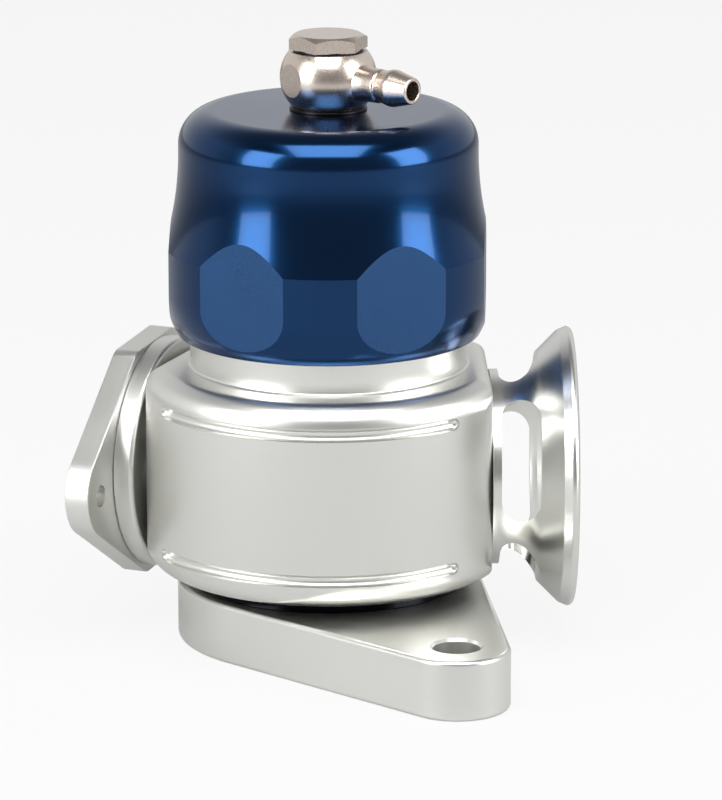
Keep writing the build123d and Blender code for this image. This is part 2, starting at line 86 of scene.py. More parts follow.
# How bright the surroundings look in the metal, and the floor to the camera and to the metal.
CAMERA_SIDE_LEVEL, FAR_SIDE_LEVEL, ZENITH_LEVEL = 0.24, 0.72, 0.3
FLOOR_COLOUR, FLOOR_SEEN, FLOOR_MIRRORED = "#b4b4b4", 0.88, 0.15


# Shapes. Points are in millimetres; the meshes they make are in metres.

def verts_of(geometry):
    """Only the vertices of what an operator returned."""
    return [part for part in geometry if isinstance(part, bmesh.types.BMVert)]


def turn(bm, angle, axis):
    """Turns a whole shape about an axis through the origin, in radians."""
    bmesh.ops.rotate(bm, verts=bm.verts[:], cent=(0, 0, 0), matrix=Matrix.Rotation(angle, 3, axis))


def eased(before, corner, after, segments):
    """Points of the circular arc that starts a given distance before a corner."""
    here = Vector(corner[:2])
    back, ahead = (Vector(before[:2]) - here).normalized(), (Vector(after[:2]) - here).normalized()
    inside = back.angle(ahead)
    centre = here + (back + ahead).normalized() * corner[2] / cos(inside / 2)
    arm = here + back * corner[2] - centre
    sweep = (pi - inside) * (1 if ahead.cross(back) > 0 else -1)
    return [centre + Matrix.Rotation(sweep * i / segments, 2) @ arm for i in range(segments + 1)]


def chain(bm, corners, closed=True, segments=12):
    """Wire in the XZ plane through (x, z) corners; an ease as a third number makes one an arc."""
    points = []
    for index, corner in enumerate(corners):
        if len(corner) == 2:
            points.append(Vector(corner))
        else:
            after = corners[(index + 1) % len(corners)]
            points.extend(eased(corners[index - 1], corner, after, segments))
    verts = [bm.verts.new((point.x * MM, 0, point.y * MM)) for point in points]
    for start, end in zip(verts, verts[1:] + (verts[:1] if closed else [])):
        bm.edges.new((start, end))


def lathe(corners, closed=True, steps=240, segments=12):
    """Solid turned about Z from a closed profile, or an open one that ends on the axis."""
    bm = bmesh.new()
    chain(bm, corners, closed, segments)
    bmesh.ops.spin(bm, geom=bm.verts[:] + bm.edges[:], cent=(0, 0, 0), axis=(0, 0, 1),
                   angle=2 * pi, steps=steps, use_merge=True)
    bmesh.ops.remove_doubles(bm, verts=bm.verts[:], dist=0.0005 * MM)
    bmesh.ops.recalc_face_normals(bm, faces=bm.faces[:])
    return bm


def plate(corners, bottom, top, segments=24):
    """Flat plate with an eased outline in plan, from one height to another."""
    bm = bmesh.new()
    chain(bm, corners, True, segments)
    turn(bm, -pi / 2, "X")
    bmesh.ops.translate(bm, verts=bm.verts[:], vec=(0, 0, bottom * MM))
    return extrude(bm, (0, 0, (top - bottom) * MM))


def extrude(bm, reach):
    """Fills a flat closed wire and draws it out into a solid."""
    face = bmesh.ops.contextual_create(bm, geom=bm.edges[:])["faces"][0]
    drawn = bmesh.ops.extrude_face_region(bm, geom=[face])["geom"]
    bmesh.ops.translate(bm, verts=verts_of(drawn), vec=reach)
    bmesh.ops.recalc_face_normals(bm, faces=bm.faces[:])
    return bm


def ease_level_edges(bm, amount, segments=6):
    """Rounds the edges that lie level at the top and bottom of a plate."""
    level = [e for e in bm.edges if abs(e.verts[0].co.z - e.verts[1].co.z) < 1e-7]
    bmesh.ops.bevel(bm, geom=level, offset=amount * MM, offset_type="OFFSET", segments=segments,
                    profile=0.5, affect="EDGES", material=-1)


def along_port(bm, angle, height=PORT_HEIGHT):
    """Lays a shape made along +Z on a level axis at an angle about Z."""
    place = (Matrix.Translation((0, 0, height * MM)) @ Matrix.Rotation(radians(angle), 4, "Z")
             @ Matrix.Rotation(pi / 2, 4, "Y"))
    bmesh.ops.transform(bm, matrix=place, verts=bm.verts[:])
    return bm


def slice_flat(bm, distance, angle):
    """Cuts a flat at a distance from the axis and closes it."""
    normal = Vector((cos(radians(angle)), sin(radians(angle)), 0))
    cut = bmesh.ops.bisect_plane(bm, geom=bm.verts[:] + bm.edges[:] + bm.faces[:], dist=1e-8,
                                 plane_co=normal * distance * MM, plane_no=normal, clear_outer=True)
    rim = [e for e in cut["geom_cut"] if isinstance(e, bmesh.types.BMEdge)]
    bmesh.ops.holes_fill(bm, edges=rim, sides=0)


def join(whole, part, place=Matrix.Identity(4)):
    """Adds one shape to another, moved to its place."""
    bmesh.ops.transform(part, matrix=place, verts=part.verts[:])
    mesh = bpy.data.meshes.new("part")
    part.to_mesh(mesh)
    part.free()
    whole.from_mesh(mesh)
    bpy.data.meshes.remove(mesh)


def as_object(bm, name):
    """Object at the origin that holds a finished shape."""
    mesh = bpy.data.meshes.new(name)
    bm.to_mesh(mesh)
    bm.free()
    piece = bpy.data.objects.new(name, mesh)
    bpy.context.scene.collection.objects.link(piece)
    return piece


def carve(piece, cutter, operation="DIFFERENCE", overlapping=False):
    """Applies one exact boolean and removes its cutter."""
    step = piece.modifiers.new("carve", "BOOLEAN")
    step.solver = "EXACT"
    step.operation = operation
    step.use_self = overlapping
    step.object = cutter
    graph = bpy.context.evaluated_depsgraph_get()
    shaped = bpy.data.meshes.new_from_object(piece.evaluated_get(graph))
    piece.modifiers.clear()
    piece.data = shaped
    bpy.data.objects.remove(cutter)
    return piece


def dress(piece, body, nodes, material, crease=14.0):
    """Smooths a finished piece up to its creases, gives it its finish and ties it to its body."""
    bm = bmesh.new()
    bm.from_mesh(piece.data)
    bmesh.ops.remove_doubles(bm, verts=bm.verts[:], dist=0.001 * MM)
    bmesh.ops.dissolve_degenerate(bm, dist=0.001 * MM, edges=bm.edges[:])
    for face in bm.faces:
        face.smooth = True
    for edge in bm.edges:
        edge.smooth = len(edge.link_faces) != 2 or edge.calc_face_angle(0) < radians(crease)
    bm.to_mesh(piece.data)
    bm.free()
    piece.data.materials.clear()
    piece.data.materials.append(material)
    weighted = piece.modifiers.new("weighted normals", "WEIGHTED_NORMAL")
    weighted.keep_sharp = True
    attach(piece, body)
    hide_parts(*nodes)
    return piece


# Finishes

def linear(hex_colour):
    """sRGB hex to linear RGBA."""
    parts = [int(hex_colour[i:i + 2], 16) / 255 for i in (1, 3, 5)]
    plain = [c / 12.92 if c <= 0.04045 else ((c + 0.055) / 1.055) ** 2.4 for c in parts]
    return (*plain, 1.0)


def add(tree, kind, inputs=None, **settings):
    """Adds a node, sets its settings, and sets or links its inputs."""
    new = tree.nodes.new(kind)
    for name, value in settings.items():
        setattr(new, name, value)
    for name, value in (inputs or {}).items():
        if isinstance(value, bpy.types.NodeSocket):
            tree.links.new(value, new.inputs[name])
        else:
            new.inputs[name].default_value = value
    return new


def blank(name):
    """Material with an empty node tree."""
    material = bpy.data.materials.new(name)
    material.use_nodes = True
    material.node_tree.nodes.clear()
    return material, material.node_tree


def turned_metal(name, colour, roughness, angle=None, height=0.0, line_mm=0.35, line_depth=0.03,
                 anisotropic=0.5, coat=0.0, coat_roughness=0.05, variation=0.25):
    """Lathe-turned metal: fine lines run round the turning axis, and gloss smears across them.

    The axis is Z, or a level axis at an angle about Z and a height. Real turning marks lie about
    0.1 mm apart, too fine to show, so they are drawn 0.3 to 0.5 mm apart."""
    material, tree = blank(name)
    place = add(tree, "ShaderNodeTexCoord")
    centred = add(tree, "ShaderNodeVectorMath", {0: place.outputs["Object"],
                                                 1: (0, 0, height * MM)}, operation="SUBTRACT")
    axis = (0, 0, 1) if angle is None else (cos(radians(angle)), sin(radians(angle)), 0)
    along = add(tree, "ShaderNodeVectorMath", {0: centred.outputs["Vector"], 1: axis},
                operation="DOT_PRODUCT")
    around = add(tree, "ShaderNodeVectorMath", {0: axis, 1: centred.outputs["Vector"]},
                 operation="CROSS_PRODUCT")
    distance = add(tree, "ShaderNodeVectorMath", {0: around.outputs["Vector"]}, operation="LENGTH")
    lines_at = add(tree, "ShaderNodeCombineXYZ", {"X": along.outputs["Value"],
                                                  "Y": distance.outputs["Value"]})
    lines = add(tree, "ShaderNodeTexNoise", {"Vector": lines_at.outputs["Vector"],
                                             "Scale": 1 / (line_mm * MM), "Detail": 3.0,
                                             "Roughness": 0.7})
    cloud = add(tree, "ShaderNodeTexNoise", {"Vector": place.outputs["Object"], "Scale": 60.0,
                                             "Detail": 2.0})
    gloss = add(tree, "ShaderNodeMath", {0: lines.outputs["Fac"], 1: cloud.outputs["Fac"]},
                operation="ADD")
    rough = add(tree, "ShaderNodeMapRange", {"Value": gloss.outputs["Value"], "From Min": 0.6,
                                             "From Max": 1.4, "To Min": roughness * (1 - variation),
                                             "To Max": roughness * (1 + variation)})
    bump = add(tree, "ShaderNodeBump", {"Height": lines.outputs["Fac"], "Strength": 0.35,
                                        "Distance": line_depth * MM})
    tangent = add(tree, "ShaderNodeVectorTransform", {"Vector": around.outputs["Vector"]},
                  vector_type="VECTOR", convert_from="OBJECT", convert_to="WORLD")
    tangent_unit = add(tree, "ShaderNodeVectorMath", {0: tangent.outputs["Vector"]},
                       operation="NORMALIZE")
    shader = add(tree, "ShaderNodeBsdfPrincipled", {
        "Base Color": linear(colour), "Metallic": 1.0, "Roughness": rough.outputs["Result"],
        "Anisotropic": anisotropic, "Tangent": tangent_unit.outputs["Vector"],
        "Coat Weight": coat, "Coat Roughness": coat_roughness, "Normal": bump.outputs["Normal"]})
    add(tree, "ShaderNodeOutputMaterial", {"Surface": shader.outputs["BSDF"]})
    return material


def plain_metal(name, colour, roughness, grain_mm=0.5, depth=0.01, metallic=1.0, variation=0.2):
    """Milled, plated, drawn or moulded surface with an even grain.

    The real grain is some 0.05 mm wide, too fine to show, so it is drawn 0.25 to 0.8 mm wide."""
    material, tree = blank(name)
    place = add(tree, "ShaderNodeTexCoord")
    grain = add(tree, "ShaderNodeTexNoise", {"Vector": place.outputs["Object"],
                                             "Scale": 1 / (grain_mm * MM), "Detail": 4.0})
    cloud = add(tree, "ShaderNodeTexNoise", {"Vector": place.outputs["Object"], "Scale": 80.0})
    gloss = add(tree, "ShaderNodeMath", {0: grain.outputs["Fac"], 1: cloud.outputs["Fac"]},
                operation="ADD")
    rough = add(tree, "ShaderNodeMapRange", {"Value": gloss.outputs["Value"], "From Min": 0.6,
                                             "From Max": 1.4, "To Min": roughness * (1 - variation),
                                             "To Max": roughness * (1 + variation)})
    bump = add(tree, "ShaderNodeBump", {"Height": grain.outputs["Fac"], "Strength": 0.3,
                                        "Distance": depth * MM})
    shader = add(tree, "ShaderNodeBsdfPrincipled", {
        "Base Color": linear(colour), "Metallic": metallic, "Roughness": rough.outputs["Result"],
        "Normal": bump.outputs["Normal"]})
    add(tree, "ShaderNodeOutputMaterial", {"Surface": shader.outputs["BSDF"]})
    return material


class ValveFinishes(bpy.types.PropertyGroup):
    """Colours of the finishes, as sRGB hex values."""

    anodised: StringProperty(name="Anodised blue", description="Glossy blue of the cap",
                             default="#143862")
    # The flats' blue is painted paler than the cap's, a painted reflection of the bright
    # surroundings.
    flats: StringProperty(name="Milled blue", description="Blue of the cap's milled flats, paler as painted reflection",
                          default="#33527d")
    # The collar's colour is the cap's anodising darkened with painted shade from the body above it.
    collar: StringProperty(name="Collar", description="Cap's anodising on the collar, darkened with painted shade",
                           default="#06080d")
    aluminium: StringProperty(name="Aluminium", description="Bare aluminium of body and flanges",
                              default="#e2e2de")
    nickel: StringProperty(name="Nickel", description="Nickel plate of the hose fitting",
                           default="#dccfc4")
    # The washers' dark colour is painted shade for the joints under the banjo and under the bolt
    # head.
    washer: StringProperty(name="Washer", description="Sealing washers' dull metal, darkened with painted joint shade",
                           default="#2b2c30")
    hard: StringProperty(name="Hard anodising", description="Grey of the piston and spring seat",
                         default="#8e8f92")
    rubber: StringProperty(name="Rubber", description="Black of the seals", default="#141414")
    steel: StringProperty(name="Spring steel", description="Dark grey of spring and snap wires",
                          default="#3c3c3e")
    plastic: StringProperty(name="Plastic", description="Brown of the guide ring and thrust washer",
                            default="#2a2521")


class ValveSizes(bpy.types.PropertyGroup):
    """Sizes of the pieces that a user may want to change."""

    cap_radius: FloatProperty(name="Cap radius", description="Widest radius of the cap",
                              default=0.031, unit="LENGTH")
    cap_flat: FloatProperty(name="Cap flat", description="Distance of the flats from the axis",
                            default=0.0296, unit="LENGTH")
    body_radius: FloatProperty(name="Body radius", description="Radius of the valve body",
                               default=0.0353, unit="LENGTH")
    groove_radius: FloatProperty(name="Groove radius", description="Radius of the panel grooves",
                                 default=0.00115, unit="LENGTH")
    flange_thickness: FloatProperty(name="Flange thickness", description="Base flange's thickness",
                                    default=0.0115, unit="LENGTH")
    window_width: FloatProperty(name="Window width", description="Width of the trumpet's windows",
                                default=0.0074, unit="LENGTH")
    steps: IntProperty(name="Steps", description="Steps round a turned piece", default=240, min=48)


class VALVE_OT_cap(bpy.types.Operator):
    """Turned cap with six arched flats"""

    bl_idname = "valve.cap"
    bl_label = "Cap"

    def execute(self, context):
        sizes, finishes = context.scene.valve_sizes, context.scene.valve_finishes
        wide = sizes.cap_radius / MM
        lip, skirt, waist, cavity, roof = 59.5, 26.36, 28.25, 23.6, 95.4
        bm = lathe([
            (skirt, lip, 0.3), (28.6, lip, 0.35), (wide, 63.733, 4.5), (wide, 76.4),
            (waist, 85.241, 9.2), (waist, CAP_TOP, 6.5), (BOLT_HOLE_RADIUS, CAP_TOP),
            (BOLT_HOLE_RADIUS, roof), (cavity, roof), (cavity, 81.6), (skirt, 79.0)],
            steps=sizes.steps, segments=20)
        flats, first_flat = 6, -4
        for index in range(flats):
            slice_flat(bm, sizes.cap_flat / MM, first_flat + 360 // flats * index)
        piece = as_object(bm, "cap_shell")
        # Dyed anodising over a polished turned cap: deep blue, with long clear highlights.
        material = turned_metal("glossy blue anodised aluminium", finishes.anodised, 0.18,
                                line_mm=0.5, line_depth=0.004, anisotropic=0.3, coat=0.2,
                                coat_roughness=0.05, variation=0.1)
        dress(piece, "top", ["cap"], material, crease=10.0)
        # The same anodising over an end mill's face: more even, and painted paler as a painted
        # reflection of the bright surroundings that the upright flats face.
        piece.data.materials.append(plain_metal("milled blue anodised flats, paler as painted reflection", finishes.flats, 0.3,
                                                grain_mm=0.25, depth=0.001))
        turned_face_corners = 8
        for face in piece.data.polygons:
            if len(face.vertices) > turned_face_corners:
                face.material_index = 1
        return {"FINISHED"}


class VALVE_OT_body(bpy.types.Operator):
    """Turned body with port flats, bores and panel grooves"""

    bl_idname = "valve.body"
    bl_label = "Body"

    def execute(self, context):
        sizes, finishes = context.scene.valve_sizes, context.scene.valve_finishes
        wide = sizes.body_radius / MM
        chamber, chamber_floor, neck, neck_top = 19.5, 20.2, 26.3, 73.5
        seat, recess = 17.5, 26.95
        piece = as_object(lathe([
            (INLET_RADIUS, seat), (INLET_RADIUS, chamber_floor), (chamber, chamber_floor),
            (chamber, neck_top), (neck, neck_top, 0.5), (neck, SHOULDER_HEIGHT, 0.5),
            (wide, SHOULDER_HEIGHT, 4.55), (wide, BODY_BOTTOM, 5.6), (29.6, BODY_BOTTOM),
            (recess, BODY_BOTTOM), (recess, COLLAR_TOP), (COLLAR_LIP_RADIUS, COLLAR_TOP),
            (COLLAR_LIP_RADIUS, seat)], steps=sizes.steps, segments=16), "body_shell")
        carve(piece, as_object(self.port_flats(wide), "flats"), overlapping=True)
        carve(piece, as_object(self.edge_rounds(wide), "rounds"), overlapping=True)
        carve(piece, as_object(self.bores_and_grooves(wide, sizes.groove_radius / MM), "holes"),
              overlapping=True)
        # Bare aluminium with a fine feed on the lathe: satin, with a soft band of light upright.
        material = turned_metal("satin turned aluminium", finishes.aluminium, 0.33, line_mm=0.3,
                                line_depth=0.016, anisotropic=0.5, variation=0.1)
        dress(piece, "housing", ["valve_body"], material)
        return {"FINISHED"}

    def port_flats(self, wide, face=PORT_FACE, ease_radius=9.5):
        """Blocks outside each port flat, with upright corners that run tangent into the body."""
        bottom, top, reach, far, clearance = 10, 60, 24.0, 60, 0.01
        centre = face - ease_radius
        lean = atan(sqrt((wide - ease_radius) ** 2 - centre ** 2) / centre)
        corner = (wide + clearance - face * cos(lean)) / sin(lean)
        ease = corner - (wide - ease_radius) * sin(lean)
        side = (face - reach * sin(lean), corner + reach * cos(lean))
        both = bmesh.new()
        for angle in (TRUMPET_ANGLE, RECIRC_ANGLE):
            block = plate([(face, corner, ease), side, (far, side[1]), (far, -side[1]),
                           (side[0], -side[1]), (face, -corner, ease)], bottom, top, segments=10)
            join(both, block, Matrix.Rotation(radians(angle), 4, "Z"))
        return both

    def edge_rounds(self, wide, face=PORT_FACE, ease_radius=3.2):
        """Bars that round the top and bottom edge of each port flat."""
        far, overlap, clearance = 40, 0.02, 0.01
        both = bmesh.new()
        inner = face - ease_radius
        for level, away in ((SHOULDER_HEIGHT, 1), (BODY_BOTTOM, -1)):
            start = level - away * ease_radius
            for angle in (TRUMPET_ANGLE, RECIRC_ANGLE):
                bar = bmesh.new()
                chain(bar, [(far, start), (face, start), (face, level, ease_radius - clearance),
                            (inner, level), (inner, level + away * overlap),
                            (far, level + away * overlap)], True, 12)
                bmesh.ops.translate(bar, verts=bar.verts[:], vec=(0, -wide * 1.2 * MM, 0))
                extrude(bar, (0, wide * 2.4 * MM, 0))
                join(both, bar, Matrix.Rotation(radians(angle), 4, "Z"))
        return both

    def bores_and_grooves(self, wide, groove):
        """Stepped port bores, and the two ball-ended grooves round the front panel."""
        passage, socket, socket_floor = 12.6, 14.3, 23
        both = bmesh.new()
        for angle in (TRUMPET_ANGLE, RECIRC_ANGLE):
            bore = lathe([(0, 12), (passage, 12), (passage, socket_floor), (socket, socket_floor),
                          (socket, 50), (0, 50)], closed=False, steps=128)
            join(both, along_port(bore, angle))
        panel_angle, half = -101, radians(51.3)
        for level in (20.1, 47.9):
            arc = bmesh.new()
            bmesh.ops.create_circle(arc, cap_ends=False, radius=groove * MM, segments=32)
            turn(arc, pi / 2, "X")
            bmesh.ops.translate(arc, verts=arc.verts[:], vec=(wide * MM, 0, level * MM))
            turn(arc, -half, "Z")
            bmesh.ops.spin(arc, geom=arc.verts[:] + arc.edges[:], cent=(0, 0, 0), axis=(0, 0, 1),
                           angle=2 * half, steps=110)
            open_edges = [e for e in arc.edges if len(e.link_faces) == 1]
            bmesh.ops.holes_fill(arc, edges=open_edges, sides=0)
            bmesh.ops.recalc_face_normals(arc, faces=arc.faces[:])
            for side in (-1, 1):
                end = Matrix.Rotation(side * half, 4, "Z") @ Matrix.Translation(
                    (wide * MM, 0, level * MM))
                bmesh.ops.create_uvsphere(arc, u_segments=32, v_segments=24, radius=groove * MM,
                                          matrix=end)
            join(both, arc, Matrix.Rotation(radians(panel_angle), 4, "Z"))
        return both


class VALVE_OT_base(bpy.types.Operator):
    """Base flange with two ears, and the collar above it, painted near black with painted shade
    from the body
    """

    bl_idname = "valve.base"
    bl_label = "Base flange and collar"

    def execute(self, context):
        sizes, finishes = context.scene.valve_sizes, context.scene.valve_finishes
        thick = sizes.flange_thickness / MM
        ears = ((-64.8, 52.8), (100.0, 43.0))
        bm = plate(self.outline(29.0, 10.0, ears), 0, thick, segments=40)
        ease_level_edges(bm, 0.9, 8)
        piece = as_object(bm, "flange_plate")
        spigot_radius, spigot_top, below, above = 20.5, 17.3, -5, 25
        spigot = lathe([(0, 5), (spigot_radius, 5), (spigot_radius, spigot_top), (0, spigot_top)],
                       closed=False, steps=128)
        carve(piece, as_object(spigot, "spigot"), "UNION")
        inlet = lathe([(0, below), (INLET_RADIUS, below), (INLET_RADIUS, above), (0, above)],
                      closed=False, steps=128)
        carve(piece, as_object(inlet, "inlet"))
        hole_radius, chamfer = 4.4, 0.5
        for angle, distance in ears:
            hole = lathe([(0, below), (hole_radius, below), (hole_radius, thick - chamfer),
                          (hole_radius + 2 * chamfer, thick + chamfer), (0, thick + chamfer)],
                         closed=False, steps=96)
            bmesh.ops.translate(hole, verts=hole.verts[:], vec=(
                distance * cos(radians(angle)) * MM, distance * sin(radians(angle)) * MM, 0))
            carve(piece, as_object(hole, "ear hole"))
        # Bare aluminium from a face mill: an even, slightly dull shine.
        material = plain_metal("bright milled aluminium", finishes.aluminium, 0.33, grain_mm=0.4,
                               depth=0.004, variation=0.1)
        dress(piece, "base", ["base_flange"], material)
        bore, outside, bottom, ledge = 20.6, 26.9, 11.5, 15.1
        collar = as_object(lathe([
            (bore, bottom), (outside, bottom, 0.2), (outside, COLLAR_TOP),
            (COLLAR_LIP_RADIUS, COLLAR_TOP), (COLLAR_LIP_RADIUS, ledge), (bore, ledge)],
            steps=sizes.steps), "collar_ring")
        # The same anodising as the cap's, painted near black as painted shade, as it looks in the
        # body's shade.
        dark = turned_metal("collar anodising darkened with painted shade", finishes.collar, 0.14, line_mm=0.5,
                            line_depth=0.003, anisotropic=0.2, coat=0.1)
        dress(collar, "housing", ["base_collar"], dark)
        return {"FINISHED"}

    def outline(self, body, ear, ears):
        """Corners whose ease arcs are the round body and its ears, joined by tangent lines."""
        normals = []
        for angle, distance in ears:
            spread = pi / 2 - atan((body - ear) / sqrt(distance ** 2 - (body - ear) ** 2))
            normals.append((radians(angle) - spread, radians(angle) + spread))
        front, rear = normals
        corners = []
        for start, end, radius in ((front[0], front[1], ear), (front[1], rear[0], body),
                                   (rear[0], rear[1], ear), (rear[1], front[0] + 2 * pi, body)):
            half = (end - start) / 2
            reach = body / cos(half)
            corners.append((reach * cos(start + half), reach * sin(start + half),
                            radius * tan(half)))
        return corners


class VALVE_OT_trumpet(bpy.types.Operator):
    """Flared vent trumpet with four milled windows"""

    bl_idname = "valve.trumpet"
    bl_label = "Trumpet"

    def execute(self, context):
        sizes, finishes = context.scene.valve_sizes, context.scene.valve_finishes
        foot, rim_radius, rim = 18.6, 26.7, 46.4
        bm = lathe([
            (PORT_BORE_RADIUS, SPIGOT_END), (SPIGOT_RADIUS, SPIGOT_END), (SPIGOT_RADIUS, PORT_FACE),
            (foot, PORT_FACE, 0.2), (foot, 36.156, 4.5), (25.964, 43.52), (rim_radius, 45.2, 0.3),
            (rim_radius, rim, 1.15), (24.4, rim, 0.3), (20.196, 41.005), (17.048, 37.858, 4.4),
            (16.429, 33.451), (PORT_BORE_RADIUS, 31.0)], steps=sizes.steps, segments=14)
        piece = as_object(along_port(bm, TRUMPET_ANGLE), "trumpet_horn")
        half_width, half_length = sizes.window_width / MM / 2, 11.5
        end_round, far = half_width - 0.005, 40
        window_centre, window_angle = 35.85, -18.5
        for quarter in (0, 90):
            slot = plate([(half_length, half_width, end_round),
                          (-half_length, half_width, end_round),
                          (-half_length, -half_width, end_round),
                          (half_length, -half_width, end_round)], -far, far, segments=20)
            turn(slot, radians(90), "X")
            bmesh.ops.translate(slot, verts=slot.verts[:], vec=(0, 0, window_centre * MM))
            turn(slot, radians(quarter + window_angle), "Z")
            carve(piece, as_object(along_port(slot, TRUMPET_ANGLE), "window"))
        # Bare aluminium turned with a finer feed than the body: brighter, with sharper highlights.
        material = turned_metal("bright turned aluminium, trumpet", finishes.aluminium, 0.25,
                                angle=TRUMPET_ANGLE, height=PORT_HEIGHT, line_mm=0.5,
                                line_depth=0.004, anisotropic=0.3, variation=0.1)
        dress(piece, "housing", ["trumpet"], material)
        return {"FINISHED"}


class VALVE_OT_recirc(bpy.types.Operator):
    """Two-hole recirculation flange on its round disc"""

    bl_idname = "valve.recirc"
    bl_label = "Recirculation flange"

    def execute(self, context):
        finishes = context.scene.valve_finishes
        tip, side_x, side_y = 40.0, 8.54, 22.4
        disc, disc_radius, back, face = 31.2, 22.3, 35.2, 40.0
        bm = plate([(tip, 0, 12.2), (side_x, side_y, 1.278), (-side_x, side_y, 1.278),
                    (-tip, 0, 12.2), (-side_x, -side_y, 1.278), (side_x, -side_y, 1.278)],
                   back, face)
        ease_level_edges(bm, 0.25, 4)
        piece = as_object(bm, "recirc_plate")
        spigot = lathe([(0, SPIGOT_END), (SPIGOT_RADIUS, SPIGOT_END), (SPIGOT_RADIUS, disc),
                        (disc_radius, disc, 0.8), (disc_radius, back, 0.4), (21.0, back),
                        (21.0, 36.0), (0, 36.0)], closed=False, steps=200)
        carve(piece, as_object(spigot, "disc"), "UNION")
        bore = lathe([(0, 20), (PORT_BORE_RADIUS, 20), (PORT_BORE_RADIUS, 37), (16, 41), (0, 41)],
                     closed=False, steps=128)
        carve(piece, as_object(bore, "bore"))
        hole_radius, hole_distance = 2.1, 27.9
        for side in (-hole_distance, hole_distance):
            hole = lathe([(0, 30), (hole_radius, 30), (hole_radius, 45), (0, 45)], closed=False,
                         steps=48)
            bmesh.ops.translate(hole, verts=hole.verts[:], vec=(side * MM, 0, 0))
            carve(piece, as_object(hole, "hole"))
        plate_lean = 85.5
        bm = bmesh.new()
        bm.from_mesh(piece.data)
        turn(bm, radians(plate_lean), "Z")
        along_port(bm, RECIRC_ANGLE)
        bm.to_mesh(piece.data)
        bm.free()
        # Bare aluminium faced on the lathe: faint rings about the outlet and a broad soft shine.
        material = turned_metal("bright turned aluminium, flange", finishes.aluminium, 0.36,
                                angle=RECIRC_ANGLE, height=PORT_HEIGHT, line_mm=0.5,
                                line_depth=0.005, anisotropic=0.2, variation=0.1)
        dress(piece, "recirc", ["recirc_flange"], material)
        return {"FINISHED"}


